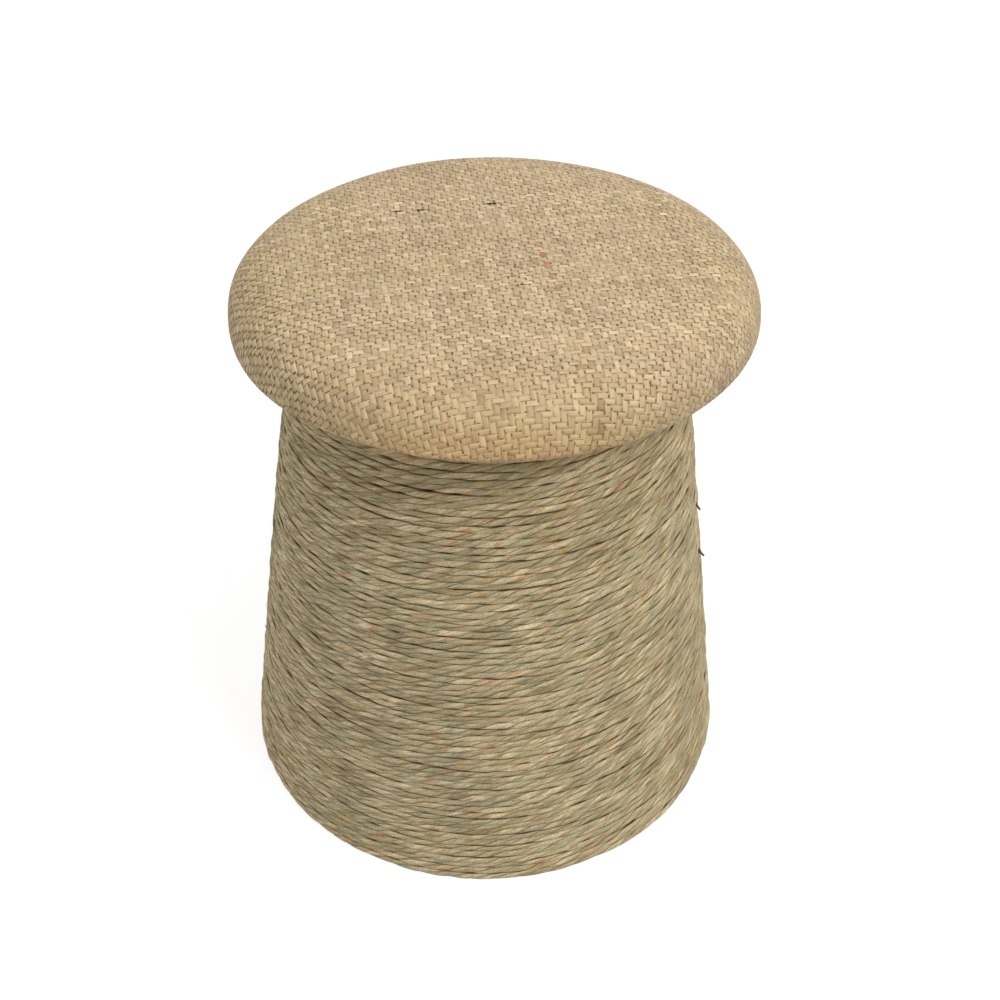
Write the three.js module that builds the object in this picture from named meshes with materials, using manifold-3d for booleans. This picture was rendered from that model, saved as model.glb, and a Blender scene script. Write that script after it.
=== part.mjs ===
// A round stool: a padded seat in a woven cover on a tapered drum that is wound in grass cord.
// Units are millimetres, +Z is up, and the origin is on the floor at the middle of the drum.

import * as THREE from 'three';
import { mergeVertices } from 'three/addons/utils/BufferGeometryUtils.js';
import Module from 'manifold-3d';

const wasm = await Module();
wasm.setup();

// Clearances
const fitGap = 0.3; // between pieces that touch
const cutOverrun = 1; // how far a cutting tool runs past the face that it opens

// Drum of staves: radii are to the middle of a stave's outer face
const staveCount = 24;
const staveThickness = 12;
const drumHeight = 401.7;
const drumBaseRadius = 192.7;
const drumTopRadius = 135.4;

// Boards and rings inside the drum
const topBoardThickness = 15;
const midRingThickness = 12;
const midRingWidth = 30;
const midRingHeight = 190; // from the drum's lower edge to the ring's underside
const baseRingThickness = 15;
const baseRingWidth = 40;
const roundSides = 48;

// Cord winding, level turns that climb one pitch at the back
const cordTurns = 24;
const cordThickness = 6;
const turnGap = 0.8; // between one turn and the next
const windingHang = 2.4; // how far the lowest turn hangs below the staves, in front of the glides
const climbSteps = 3;
const climbStartStep = 7; // stave corner, counted from the one next to +X, where a turn starts to climb

// Seat, which sits a little to one side of the drum
const seatShift = 4.9;
const seatOverhang = 10.2; // from the seat board's edge to the seat's widest place
const crownHeight = 44.7; // from the seat board's underside to the top of the crown
const rimHeight = 3.2; // from the seat board's underside to the seat's widest place
const seatBoardThickness = 12;
const coverThickness = 2;
const coverFlangeWidth = 30; // how far the cover runs in under the seat board
const flangeClearance = 1.2; // from the cover's flange to the top turn of cord
const crownFlatness = 9.4; // exponent of the crown's outline across: more is flatter
const shoulderSquareness = 2.3; // exponent of the crown's outline upwards: 2 is round, more is squarer
const crownSteps = 9;
const rimSteps = 4;

// Glides and their pins
const glideCount = 6;
const glideRadius = 11;
const glideThickness = 3;
const glideBevel = 1;
const pinRadius = 1.3;
const pinHeadRadius = 3;
const pinHeadThickness = 1.2;
const pinHeadRecess = 0.8; // how far the head lies above the floor
const pinBite = 9; // depth of the pin in the base ring

// Screws that hold the seat, with their washers
const screwCount = 4;
const screwEdgeDistance = 24.8; // from the top board's edge to the screws
const screwRadius = 2.2;
const screwHeadRadius = 4.5;
const screwHeadHeight = 3;
const screwHeadCrown = 1; // the domed part of the head's height
const screwBite = 8; // depth of the screw in the seat board
const washerRadius = 8;
const washerThickness = 1.2;
const smallSides = 12;
const discSides = 16;

// Heights that follow from the sizes above
const drumBottom = glideThickness + fitGap;
const drumTop = drumBottom + drumHeight;
const seatBottom = drumTop + fitGap;
const staveAngle = 2 * Math.PI / staveCount;

// The cover's flange clears the top turn of cord all round, and the seat board covers the flange
const drumTopOuterRadius = (drumTopRadius + fitGap + cordThickness) / Math.cos(staveAngle / 2);
const flangeInnerRadius = drumTopOuterRadius + seatShift + flangeClearance;
const seatBoardRadius = flangeInnerRadius + coverFlangeWidth;
const seatRadius = seatBoardRadius + seatOverhang;

const drum = new THREE.Group();
const seat = new THREE.Group();
seat.position.set(seatShift, 0, seatBottom);

function addPiece(group, name, geometry, color, roughness, metalness) {
  const material = new THREE.MeshStandardMaterial({ color, roughness, metalness });
  const mesh = new THREE.Mesh(geometry, material);
  mesh.name = name;
  group.add(mesh);
  return mesh;
}

// A solid of revolution about Z from an outline of [radius, height] pairs, its outer side running upwards
function turned(outline, sides) {
  const points = outline.map(([radius, height]) => new THREE.Vector2(radius, height));
  const geometry = new THREE.LatheGeometry(points, sides);
  geometry.rotateX(Math.PI / 2);
  return geometry;
}

function closedOutline(outline) {
  return [...outline, outline[0]];
}

// A disc with a tapered edge, its underside at height zero
function disc(bottomRadius, topRadius, thickness, sides) {
  const geometry = new THREE.CylinderGeometry(topRadius, bottomRadius, thickness, sides);
  geometry.rotateX(Math.PI / 2);
  geometry.translate(0, 0, thickness / 2);
  return geometry;
}

function toSolid(geometry) {
  const bare = geometry.clone();
  bare.deleteAttribute('normal');
  bare.deleteAttribute('uv');
  const merged = mergeVertices(bare);
  const mesh = new wasm.Mesh({
    numProp: 3,
    vertProperties: new Float32Array(merged.getAttribute('position').array),
    triVerts: new Uint32Array(merged.getIndex().array),
  });
  return new wasm.Manifold(mesh);
}

function fromSolid(solid) {
  const mesh = solid.getMesh();
  const geometry = new THREE.BufferGeometry();
  geometry.setAttribute('position', new THREE.BufferAttribute(new Float32Array(mesh.vertProperties), 3));
  geometry.setIndex(new THREE.BufferAttribute(new Uint32Array(mesh.triVerts), 1));
  geometry.computeVertexNormals();
  return geometry;
}

// Upright holes from height bottom to height top at each of the places
function withHoles(geometry, places, radius, bottom, top) {
  let solid = toSolid(geometry);
  for (const [x, y] of places) {
    const tool = disc(radius, radius, top - bottom, smallSides);
    tool.translate(x, y, bottom);
    solid = solid.subtract(toSolid(tool));
  }
  return fromSolid(solid);
}

function circlePlaces(count, radius, firstAngle) {
  const places = [];
  for (let i = 0; i < count; i += 1) {
    const angle = firstAngle + i * 2 * Math.PI / count;
    places.push([radius * Math.cos(angle), radius * Math.sin(angle)]);
  }
  return places;
}

// Distance from the axis to the middle of the staves' outer faces, at a height above the floor
function staveFace(height) {
  const share = (height - drumBottom) / drumHeight;
  return drumBaseRadius + (drumTopRadius - drumBaseRadius) * share;
}

// Radius of a round board or ring that fits inside the staves at a height
function insideRadius(height) {
  return staveFace(height) - staveThickness - fitGap;
}

// One stave: a tapered board with mitred edges, standing on the +X side
function staveGeometry() {
  const mitre = Math.tan(staveAngle / 2);
  const vertices = [];
  for (const height of [drumBottom, drumTop]) {
    for (const radius of [staveFace(height) - staveThickness, staveFace(height)]) {
      const halfWidth = radius * mitre - fitGap / 2;
      vertices.push(radius, -halfWidth, height, radius, halfWidth, height);
    }
  }
  // corners: bottom inner 0 1, bottom outer 2 3, top inner 4 5, top outer 6 7
  const faces = [
    [0, 1, 3, 2],
    [4, 6, 7, 5],
    [2, 3, 7, 6],
    [0, 4, 5, 1],
    [0, 2, 6, 4],
    [1, 5, 7, 3],
  ];
  const index = faces.flatMap(([a, b, c, d]) => [a, b, c, a, c, d]);
  const geometry = new THREE.BufferGeometry();
  geometry.setAttribute('position', new THREE.Float32BufferAttribute(vertices, 3));
  geometry.setIndex(index);
  geometry.computeVertexNormals();
  return geometry;
}

function addStaves() {
  for (let i = 0; i < staveCount; i += 1) {
    const name = `stave_${String(i + 1).padStart(2, '0')}`;
    const stave = addPiece(drum, name, staveGeometry(), 0xc9a878, 0.75, 0);
    stave.rotation.z = i * staveAngle;
  }
}

// A flat ring with a tapered outer edge, its underside at a height above the floor
function ringGeometry(bottom, thickness, width) {
  const top = bottom + thickness;
  const holeRadius = insideRadius(top) - width;
  return turned(closedOutline([
    [holeRadius, bottom],
    [insideRadius(bottom), bottom],
    [insideRadius(top), top],
    [holeRadius, top],
  ]), roundSides);
}

const glidePlaces = circlePlaces(
  glideCount,
  insideRadius(drumBottom + baseRingThickness) - baseRingWidth / 2,
  Math.PI / glideCount,
);

function addBaseRing() {
  const ring = withHoles(
    ringGeometry(drumBottom, baseRingThickness, baseRingWidth),
    glidePlaces,
    pinRadius + fitGap,
    drumBottom - cutOverrun,
    drumBottom + pinBite + fitGap,
  );
  addPiece(drum, 'base_ring', ring, 0xcdb08a, 0.75, 0);
}

function addMidRing() {
  const ring = ringGeometry(drumBottom + midRingHeight, midRingThickness, midRingWidth);
  addPiece(drum, 'mid_ring', ring, 0xcdb08a, 0.75, 0);
}

const screwPlaces = circlePlaces(screwCount, insideRadius(drumTop) - screwEdgeDistance, 0);

function addTopBoard() {
  const bottom = drumTop - topBoardThickness;
  const board = disc(insideRadius(bottom), insideRadius(drumTop), topBoardThickness, roundSides);
  board.translate(0, 0, bottom);
  const shiftedPlaces = screwPlaces.map(([x, y]) => [x + seatShift, y]);
  const holeRadius = screwRadius + fitGap;
  const drilled = withHoles(board, shiftedPlaces, holeRadius, bottom - cutOverrun, drumTop + cutOverrun);
  addPiece(drum, 'top_board', drilled, 0xcdb08a, 0.75, 0);
}

// Cord winding
const windingBottom = drumBottom - windingHang;
const turnPitch = (drumTop - fitGap - windingBottom) / cordTurns;
const turnHeight = turnPitch - turnGap;

// The flattened six-sided section of a turn, as [height, distance out from the staves]
const cordSection = [
  [turnHeight / 2, cordThickness / 2],
  [turnHeight / 2 - cordThickness / 2, cordThickness],
  [-turnHeight / 2 + cordThickness / 2, cordThickness],
  [-turnHeight / 2, cordThickness / 2],
  [-turnHeight / 2 + cordThickness / 2, 0],
  [turnHeight / 2 - cordThickness / 2, 0],
];

// Height of the winding's middle after a number of stave corners
function windingHeight(corner) {
  const climbed = corner - climbStartStep - climbSteps;
  const turn = Math.floor(climbed / staveCount);
  const stepInTurn = climbed - turn * staveCount;
  const climb = Math.max(0, stepInTurn - (staveCount - climbSteps)) / climbSteps;
  return windingBottom + turnPitch * (turn + climb + 1 / 2);
}

// One ring of the winding: at a corner between two staves, or square across the middle of a stave
function windingRing(corner) {
  const atCorner = Number.isInteger(corner);
  const angle = (corner + 1 / 2) * staveAngle;
  const level = windingHeight(corner);
  return cordSection.map(([up, out]) => {
    const face = staveFace(level + up) + fitGap + out;
    const radius = atCorner ? face / Math.cos(staveAngle / 2) : face;
    return new THREE.Vector3(radius * Math.cos(angle), radius * Math.sin(angle), level + up);
  });
}

// The rings of the whole winding: both ends are square, half a stave short of the climb
function windingRings() {
  const firstCorner = climbStartStep + climbSteps + 1;
  const lastCorner = climbStartStep - 1 + cordTurns * staveCount;
  const rings = [windingRing(firstCorner - 1 / 2)];
  for (let corner = firstCorner; corner <= lastCorner; corner += 1) {
    rings.push(windingRing(corner));
  }
  rings.push(windingRing(lastCorner + 1 / 2));
  return rings;
}

// Points on the tube: the rings' corners, their sides' middles, and the same half way to the next ring
function surfaceSamples(rings) {
  const samples = [];
  rings.forEach((ring, i) => {
    const next = rings[Math.min(i + 1, rings.length - 1)];
    const halfWay = ring.map((point, k) => point.clone().lerp(next[k], 1 / 2));
    for (const row of [ring, halfWay]) {
      const middles = row.map((point, k) => point.clone().lerp(row[(k + 1) % row.length], 1 / 2));
      samples.push([...row, ...middles]);
    }
  });
  return samples;
}

function leastGap(rings) {
  const samples = surfaceSamples(rings);
  const turnRows = 2 * staveCount;
  let least = Infinity;
  for (let i = 0; i < samples.length; i += 1) {
    const last = Math.min(samples.length - 1, i + turnRows + climbSteps);
    for (let j = i + turnRows - climbSteps; j <= last; j += 1) {
      for (const a of samples[i]) {
        for (const b of samples[j]) {
          least = Math.min(least, a.distanceTo(b));
        }
      }
    }
  }
  return least;
}

// One unbroken tube through the rings, closed by a flat face at each end
function tubeGeometry(rings) {
  const sides = rings[0].length;
  const positions = rings.flat().flatMap((point) => [point.x, point.y, point.z]);
  const index = [];
  for (let i = 0; i < rings.length - 1; i += 1) {
    for (let k = 0; k < sides; k += 1) {
      const a = i * sides + k;
      const b = i * sides + (k + 1) % sides;
      index.push(a, b, b + sides, a, b + sides, a + sides);
    }
  }
  const end = (rings.length - 1) * sides;
  for (let k = 1; k < sides - 1; k += 1) {
    index.push(0, k + 1, k);
    index.push(end, end + k, end + k + 1);
  }
  const geometry = new THREE.BufferGeometry();
  geometry.setAttribute('position', new THREE.Float32BufferAttribute(positions, 3));
  geometry.setIndex(index);
  geometry.computeVertexNormals();
  return geometry;
}

function addWinding() {
  const rings = windingRings();
  console.log(`least gap of the winding to itself: ${leastGap(rings).toFixed(2)} mm`);
  addPiece(drum, 'cord_winding', tubeGeometry(rings), 0xa3966f, 0.9, 0);
}

// The cushion's outline from its flange to the top of the crown, drawn in by a depth from the outer skin.
// Heights are above the seat board's underside.
function cushionOutline(depth) {
  const flangeRadius = seatBoardRadius + fitGap;
  const skinBottom = -fitGap - coverThickness;
  const rimReach = seatRadius - flangeRadius - depth;
  const rimDrop = rimHeight - skinBottom - depth;
  const crownRise = crownHeight - rimHeight - depth;
  const outline = [];
  for (let i = 0; i <= rimSteps; i += 1) {
    const angle = (1 - i / rimSteps) * Math.PI / 2;
    outline.push([flangeRadius + rimReach * Math.cos(angle), rimHeight - rimDrop * Math.sin(angle)]);
  }
  for (let i = 1; i <= crownSteps; i += 1) {
    const angle = i / crownSteps * Math.PI / 2;
    const across = Math.cos(angle) ** (2 / crownFlatness);
    const up = Math.sin(angle) ** (2 / shoulderSquareness);
    const radius = i === crownSteps ? 0 : (seatRadius - depth) * across;
    outline.push([radius, rimHeight + crownRise * up]);
  }
  return outline;
}

function addSeatCover() {
  const inner = cushionOutline(coverThickness);
  const outer = cushionOutline(0);
  const shell = turned([
    ...inner.reverse(),
    [flangeInnerRadius, -fitGap],
    [flangeInnerRadius, -fitGap - coverThickness],
    ...outer,
  ], roundSides);
  addPiece(seat, 'seat_cover', shell, 0xc8ad80, 0.7, 0);
}

function addSeatFoam() {
  const boardTop = seatBoardThickness + fitGap;
  const foam = turned([
    [0, boardTop],
    [seatBoardRadius + fitGap, boardTop],
    ...cushionOutline(coverThickness + fitGap),
  ], roundSides);
  addPiece(seat, 'seat_foam', foam, 0xe6dfc8, 0.95, 0);
}

function addSeatBoard() {
  const board = disc(seatBoardRadius, seatBoardRadius, seatBoardThickness, roundSides);
  const drilled = withHoles(board, screwPlaces, screwRadius + fitGap, -cutOverrun, screwBite + fitGap);
  addPiece(seat, 'seat_board', drilled, 0xcdb08a, 0.75, 0);
}

function addGlides() {
  const shaftRadius = pinRadius + fitGap;
  const recessTop = pinHeadRecess + pinHeadThickness + fitGap;
  glidePlaces.forEach(([x, y], i) => {
    const glide = turned(closedOutline([
      [pinHeadRadius + fitGap, 0],
      [glideRadius - glideBevel, 0],
      [glideRadius, glideBevel],
      [glideRadius, glideThickness],
      [shaftRadius, glideThickness],
      [shaftRadius, recessTop],
      [pinHeadRadius + fitGap, recessTop],
    ]), discSides);
    addPiece(drum, `glide_${i + 1}`, glide, 0xe9e6dc, 0.45, 0).position.set(x, y, 0);
    const pin = turned([
      [0, pinHeadRecess],
      [pinHeadRadius, pinHeadRecess],
      [pinHeadRadius, pinHeadRecess + pinHeadThickness],
      [pinRadius, pinHeadRecess + pinHeadThickness],
      [pinRadius, drumBottom + pinBite - pinRadius],
      [0, drumBottom + pinBite],
    ], smallSides);
    addPiece(drum, `glide_pin_${i + 1}`, pin, 0xb4b6b8, 0.35, 0.9).position.set(x, y, 0);
  });
}

// The screws run up through the top board, so their heads lie below it
function addScrews() {
  const boardBottom = -fitGap - topBoardThickness;
  const washerTop = boardBottom - fitGap;
  const headTop = washerTop - washerThickness - fitGap;
  const headBottom = headTop - screwHeadHeight;
  screwPlaces.forEach(([x, y], i) => {
    const washer = turned(closedOutline([
      [screwRadius + fitGap, washerTop - washerThickness],
      [washerRadius, washerTop - washerThickness],
      [washerRadius, washerTop],
      [screwRadius + fitGap, washerTop],
    ]), discSides);
    addPiece(seat, `seat_washer_${i + 1}`, washer, 0xb4b6b8, 0.35, 0.9).position.set(x, y, 0);
    const screw = turned([
      [0, headBottom],
      [screwHeadRadius - screwHeadCrown, headBottom],
      [screwHeadRadius, headBottom + screwHeadCrown],
      [screwHeadRadius, headTop],
      [screwRadius, headTop],
      [screwRadius, screwBite - screwRadius],
      [0, screwBite],
    ], smallSides);
    addPiece(seat, `seat_screw_${i + 1}`, screw, 0xb4b6b8, 0.35, 0.9).position.set(x, y, 0);
  });
}

addStaves();
addBaseRing();
addMidRing();
addTopBoard();
addWinding();
addSeatCover();
addSeatFoam();
addSeatBoard();
addGlides();
addScrews();

const stool = new THREE.Group();
stool.add(drum, seat);

export default stool;
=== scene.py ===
import math

import bpy
import numpy as np
from mathutils import Matrix, Vector


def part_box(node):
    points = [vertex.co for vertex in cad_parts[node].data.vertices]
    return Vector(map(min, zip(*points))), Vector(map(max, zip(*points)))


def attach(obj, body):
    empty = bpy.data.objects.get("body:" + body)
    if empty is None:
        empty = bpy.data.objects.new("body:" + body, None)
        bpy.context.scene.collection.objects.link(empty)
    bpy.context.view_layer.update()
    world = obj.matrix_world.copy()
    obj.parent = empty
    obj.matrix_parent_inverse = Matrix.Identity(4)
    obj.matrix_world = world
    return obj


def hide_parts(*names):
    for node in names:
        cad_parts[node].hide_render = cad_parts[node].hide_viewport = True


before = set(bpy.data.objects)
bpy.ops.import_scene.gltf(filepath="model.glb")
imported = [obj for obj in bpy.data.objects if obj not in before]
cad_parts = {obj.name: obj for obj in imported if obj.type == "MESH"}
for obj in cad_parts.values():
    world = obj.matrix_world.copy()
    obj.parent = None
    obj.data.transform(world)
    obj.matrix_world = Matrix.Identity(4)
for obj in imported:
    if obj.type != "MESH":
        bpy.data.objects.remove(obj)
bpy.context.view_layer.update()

# Lengths are in metres. +Z is up, and the camera stands on the -Y side.
TURN = 2 * math.pi
SWELL_WAVES = 7
SWELL_LENGTHS = (0.8, 2.2)  # of the waves, in shares of the reach

CLEARANCE = 0.0003  # between pieces that touch

# Cushion: its outline has the CAD cover's reach, and exponents close to it
seat_low, seat_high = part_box("seat_cover")
board_low, board_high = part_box("seat_board")
SEAT_CENTRE = (seat_low.x + seat_high.x) / 2
SEAT_RADIUS = (seat_high.y - seat_low.y) / 2
BOARD_RADIUS = (board_high.y - board_low.y) / 2
RIM_DROP = 0.0080  # from the seat's widest place down to its underside
RIM_SQUARENESS = 1.15  # 2 is an ellipse, 1 a straight slant
RIM_REACH = SEAT_RADIUS - BOARD_RADIUS - CLEARANCE  # how far the rounding under the widest place runs in
FLANGE_INNER_RADIUS = 0.1492
TILT_ACROSS = 0.008  # rise of the crown to each metre towards +X
TILT_AWAY = -0.016  # rise of the crown to each metre away from the camera
RIM_SAG = 0.0030  # how far the rim hangs down over the drum's left side
RIM_SAG_ANGLE = math.radians(213)
RIM_SAG_WIDTH = math.radians(27)
RIM_SAG_REACH = 0.016
CROWN_FLATNESS = 9.2
SHOULDER_SQUARENESS = 2.3
WIDEST_HEIGHT = seat_low.z + RIM_DROP
CROWN_RISE = seat_high.z - WIDEST_HEIGHT
OUTLINE_SAMPLES = 2400
RIM_SAMPLES = 60
FLANGE_SAMPLES = 30
UNEVEN_HEIGHT = 0.0004
UNEVEN_REACH = 0.10
PAD_DEPTH = 0.0014  # from the mat's outer face in to the pad
PAD_SIDES = 144
PAD_STEPS = 56
PAD_MIDDLE_RADIUS = 0.004  # of the small faces that close it
PAD_COARSE_RADIUS = SEAT_RADIUS * 0.85  # half of the steps are within it
MIDDLE_GUARD = 1e-9  # keeps the mat's middle from a division by zero

# Mat: a 2/2 twill of flat strips. Its directions are those in which strips are counted, seen from above
WARP_COUNTED = math.radians(11)
WEFT_COUNTED = math.radians(97)
WARP_PITCH = 0.00412
WEFT_PITCH = 0.00387
STRIP_WIDTH_UNEVENNESS = 0.04  # of the pitch
STRIP_THICKNESS = 0.00024
STRIP_CAMBER = 0.00004
STRIP_SECTION = (
    # across in half widths, height in thicknesses, camber in cambers
    (-1.0, -0.5, -1.0),
    (1.0, -0.5, -1.0),
    (0.9, 0.5, -0.8),
    (0.0, 0.5, 0.0),
    (-0.9, 0.5, -0.8),
)
WEAVE_LIFT = 0.00018  # from the mat's middle to a strip's middle, at a crossing
LIFT_SQUARENESS = 1.9
STRIP_ROLL = 0.00006  # rise of one edge of a strip, where it lies askew
STRIP_ROLL_REACH = 0.007
STEPS_PER_CROSSING = 3
TWILL_REPEAT = 4
FLOAT_MIDDLE = 0.5  # the two numbers' sum in the middle of a weft's upper float
STRIP_DRIFT = 0.0003
STRIP_DRIFT_REACH = 0.05
STRIP_WOBBLE = 0.00012
STRIP_WOBBLE_REACH = 0.009
LEAST_RINGS = 4  # of points along the shortest strips
MAT_PIECES = 3  # in each direction

# Slits in the mat: number between the two wefts that stand apart, place along them, half length, half gap
MAT_SLITS = (
    (19.5, 0.0060, 0.0065, 0.0024),
    (18.5, -0.0463, 0.0045, 0.0018),
    (18.5, -0.0628, 0.0045, 0.0016),
    (-4.5, 0.0118, 0.0024, 0.0009),
    (-8.5, 0.0080, 0.0030, 0.0010),
    (-11.5, 0.0117, 0.0034, 0.0010),
)
SLIT_REACH = 1.2  # in wefts
SLIT_THINNING = 0.95  # of the width of the warps that cross a slit

# Painted light and shade on the mat: its front is warmer and darker with lighter painted shade at the
# float ends, its rim is lit brighter with darker shade there again, its left side is a little darker and
# less red; and it gapes over its left shoulder
# painted warm shade towards the front
FRONT_WARM_SHADE = np.array([0.905, 0.866, 0.724])
FRONT_START = 0.13
FRONT_DEPTH = 0.075
FRONT_CLOSING = 0.70  # how much lighter the painted shade at the float ends is there
FRONT_RIM_LIGHT = np.array([1.29, 1.20, 1.17])  # painted light, down at the rim
FRONT_RIM_START = 0.180
FRONT_RIM_DEPTH = 0.030
FRONT_RIM_OPENING = 0.45  # how much darker the painted shade at the float ends is again at the rim
# painted shade on the left side, a little less red
LEFT_SHADE = np.array([0.97, 0.985, 0.945])
LEFT_START = 0.09
LEFT_DEPTH = 0.06
GAPE_ANGLE = math.radians(203)
GAPE_WIDTH = math.radians(26)
GAPE_START = 0.150
GAPE_DEPTH = 0.030
GAPE_SHARE = 0.40  # of a strip's width
OPENNESS_UNEVENNESS = 0.25
OPENNESS_REACH = 0.05
OPENNESS_LIMITS = (0.3, 1.8)
WEFT_OPENNESS = 0.2  # how much more painted shade than the mean the wefts' ends take, and the warps' less
TIGHT = 0.4  # openness, which sets the painted shade at the float ends, where they are tight, loose and gaping
LOOSE = 1.0
GAPING = 1.3

# Straw: the colours of strips as linear red, green and blue, and how often each is drawn
STRAW_COLOURS = np.array([
    (0.563, 0.424, 0.256),
    (0.635, 0.496, 0.318),
    (0.532, 0.412, 0.240),
    (0.588, 0.420, 0.271),
    (0.470, 0.344, 0.204),
    (0.560, 0.433, 0.240),
])
STRAW_WEIGHTS = np.array([0.30, 0.18, 0.16, 0.15, 0.09, 0.12])
STRAW_DRIFT_REACH = 0.022  # in which a strip's first colour drifts into its second
BROWN_STRAW = np.array([0.400, 0.260, 0.140])
BROWN_REACH = 0.007
BROWN_START = 0.82  # on noise from -1 to 1
BROWN_DEPTH = 0.1
BROWN_SHARE = 0.5
RED_STRAW = np.array([0.460, 0.205, 0.125])
RED_WARP = 8  # number of the one reddish strip
RED_MIDDLE = 0.012
RED_REACH = 0.026
RED_BROWN_LIMITS = (0.15, 0.75)
STRIP_SPREAD = 0.06  # of brightness, from strip to strip
FLOAT_SPREAD = 0.09  # the same, along a strip
FLOAT_SPREAD_REACH = 0.012
SPOT_SPREAD = 0.08
SPOT_SPREAD_REACH = 0.005
PATCH_SPREAD = 0.03  # the same, from patch to patch of the mat
PATCH_SPREAD_REACH = 0.018
BACK_SPREAD_SHARE = 1.22  # of all these spreads, away from the front edge

# Drum winding
DRUM_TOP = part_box("stave_01")[1].z  # height of the staves' upper ends
DRUM_FLOOR_RADIUS = 0.2003  # the winding's outer face, carried down to the floor
DRUM_TAPER = 0.1430  # radius lost for each metre of height
DRUM_SWELL = 0.0009  # how far the drum's side bulges at half its height
WINDING_BOTTOM = 0.0009
CORD_ROWS = 69
CORD_HALF_DEPTH = 0.00268
ROW_FILL_SHARE = 1.09
ROW_UNEVENNESS = 0.0008  # how far the line between two rows strays
ROW_UNEVENNESS_REACH = 0.11
ROW_PROUD = 0.0007  # how far a row stands out or in
ROW_PROUD_REACH = 0.035
ROW_LUMP = 0.0005  # the same, from blade to blade
ROW_LUMP_REACH = 0.010
CORD_SQUARENESS = 3.8
CORD_STEPS_PER_TURN = 470
CORD_PIECES = 5
CORD_SECTION_DEGREES = (-150, -110, -85, -71, -50, -26, 0, 26, 50, 71, 85, 110, 150)
CLIMB_START = math.radians(112.5)
CLIMB_WIDTH = math.radians(45)
CORD_END_INSET = math.radians(7.5)
LAY_LENGTH = 0.060  # in which a strand goes once round the cord
STRANDS = 3
LAY_UNEVENNESS = 0.42  # in strands
LAY_REACH = 0.042
STRAND_GROOVE_SHARE = 0.28
CORD_THICKNESS_UNEVENNESS = 0.065
CORD_THICKNESS_REACH = 0.02
CORD_THINNING = 0.4  # of the unevenness, by which the cord is thinner on the whole
ROW_DRIFT = 0.0003
ROW_DRIFT_REACH = 0.09
ROW_RIPPLE = 0.0002
ROW_RIPPLE_REACH = 0.028
CORD_WOBBLE = 0.00012
CORD_WOBBLE_REACH = 0.022
ROW_EDGE_REACH = 0.02  # over which the rows become level again towards the first and the last one

# Places where two rows stand apart: angle round the drum, height, half width as an angle, half gap
ROW_GAPS = (
    (math.radians(209), 0.1065, math.radians(11), 0.0010),
    (math.radians(263), 0.1110, math.radians(13), 0.0006),
    (math.radians(296), 0.1150, math.radians(10), 0.0006),
    (math.radians(60), 0.2400, math.radians(14), 0.0006),
    (math.radians(10), 0.1600, math.radians(12), 0.0005),
    (math.radians(140), 0.0700, math.radians(10), 0.0006),
)
ROW_GAP_REACH = 0.016
FIBRE_RADIUS = 0.00032

# Loose ends: angle round the drum, height, length along the row, lift off the winding, rise, radius
PHOTO_FIBRES = (
    (math.radians(350), 0.2480, -0.003, 0.0036, -0.005, 0.0010),
    (math.radians(350), 0.2010, -0.003, 0.0046, -0.004, 0.0011),
    (math.radians(244), 0.350, 0.004, 0.0030, 0.010, FIBRE_RADIUS),
    (math.radians(186), 0.140, 0.012, 0.0030, -0.003, FIBRE_RADIUS),
)
FIBRE_COUNT = 150
FIBRE_POINTS = 9
FIBRE_SIDES = 5
FIBRE_TIP_SHARE = 0.4  # of the radius at its root
BROKEN_TIP_SHARE = 0.8
BROKEN_RADIUS = 0.0006  # ends thicker than this are broken blades, dark and blunt
FIBRE_ROOT_DEPTH = 0.0009
FIBRE_KINK = 0.0007
FIBRE_KINK_WAVES = (3, 6)
FIBRE_KINK_PHASES = (0, 3)
FIBRE_HEIGHTS = (0.02, 0.38)
FIBRE_LENGTHS = (0.006, 0.016)
FIBRE_LEAST_LIFT = 0.0006
FIBRE_LIFT_SPREAD = 0.0026
FIBRE_RISE = 0.004
FIBRE_STRANDS = 3.3  # strand count from one to the next, so that each has its own colour
FIBRE_OUTWARDNESS = 0.8
BROKEN_OUTWARDNESS = -1.0  # below that of every place on the cord, which the material shows dark

# Colours, as linear red, green and blue. In tones each one comes with its place on the noise
# painted shade at the strips' edges
STRIP_EDGE_SHADE = (0.330, 0.180, 0.070)
# painted shade in the slits at the float ends, redder where they are tight towards the front
SLIT_SHADE = (0.120, 0.062, 0.014)
FRONT_SLIT_SHADE = (0.215, 0.092, 0.024)
BLADE_TONES = (
    (0.05, (0.250, 0.190, 0.096)),
    (0.22, (0.395, 0.318, 0.170)),
    (0.42, (0.500, 0.407, 0.225)),
    (0.62, (0.615, 0.502, 0.295)),
    (0.88, (0.745, 0.612, 0.382)),
)
GREY_GREEN_BLADE = (0.450, 0.420, 0.260)
CREAM_BLADE = (0.740, 0.590, 0.370)
RED_FLECK = (0.520, 0.240, 0.130)
YELLOW_FLECK = (0.520, 0.360, 0.120)
GREEN_FLECK = (0.270, 0.280, 0.155)
# painted shade in the cord's seams between strands and lines between rows
BROWN_GROOVE_SHADE = (0.095, 0.059, 0.026)
RED_GROOVE_SHADE = (0.220, 0.095, 0.042)
# warm tint of the painted shadow of the seat on the drum
SEAT_SHADOW_TINT = (0.99, 0.97, 0.915)
# the pad's dark colour, painted shade seen through the gaps of the mat
PAD_SHADE_TONES = ((0.3, (0.055, 0.036, 0.020)), (0.7, (0.110, 0.072, 0.042)))
PLYWOOD_TONES = ((0.35, (0.48, 0.34, 0.20)), (0.65, (0.62, 0.47, 0.30)))
STAVE_TONES = ((0.35, (0.44, 0.29, 0.15)), (0.65, (0.60, 0.43, 0.24)))
NYLON_TONES = ((0.3, (0.74, 0.72, 0.67)), (0.7, (0.82, 0.80, 0.75)))
STEEL_TONES = ((0.3, (0.50, 0.50, 0.48)), (0.7, (0.64, 0.64, 0.62)))

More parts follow.
